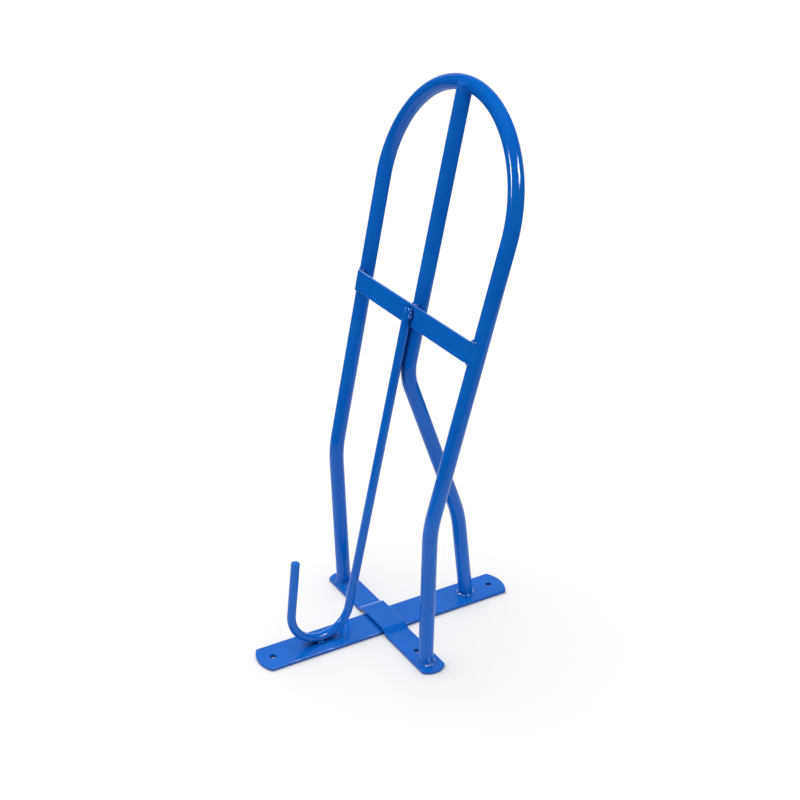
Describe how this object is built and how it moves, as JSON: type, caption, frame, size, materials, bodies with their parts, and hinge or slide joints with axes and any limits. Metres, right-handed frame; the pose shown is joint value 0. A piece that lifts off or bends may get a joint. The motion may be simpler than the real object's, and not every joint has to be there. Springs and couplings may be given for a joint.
{
  "type": "wall mounted saddle rack",
  "caption": "Welded round tube saddle rack on crossed flat wall bars, with a central spine and a bridle hook of bent round rod.",
  "frame": {"origin": "point of the wall plane under the crossing of the two wall bars, at the bottom centre of the part's box", "axes": "+Z straight out from the wall, +Y along the long wall bar towards the spine's foot (up when hung), +X along the short wall bar"},
  "size_m": [0.25, 0.307, 0.596],
  "materials": {
    "blue_powder_coat": "gloss powder coat",
    "coated_weld": "gloss powder coat over weld beads"
  },
  "bodies": {
    "root": {"long_wall_bar": "blue_powder_coat", "short_wall_bar": "blue_powder_coat", "loop_tube": "blue_powder_coat", "spine_tube": "blue_powder_coat", "cross_strap": "blue_powder_coat", "bridle_hook_rod": "blue_powder_coat", "weld_foot_left": "coated_weld", "weld_foot_right": "coated_weld", "weld_foot_spine": "coated_weld", "weld_strap_left_top": "coated_weld", "weld_strap_left_bottom": "coated_weld", "weld_strap_right_top": "coated_weld", "weld_strap_right_bottom": "coated_weld", "weld_strap_spine": "coated_weld", "weld_hook_strap": "coated_weld", "weld_hook_bar_left": "coated_weld", "weld_hook_bar_right": "coated_weld", "weld_loop_spine": "coated_weld"}
  },
  "joints": []
}
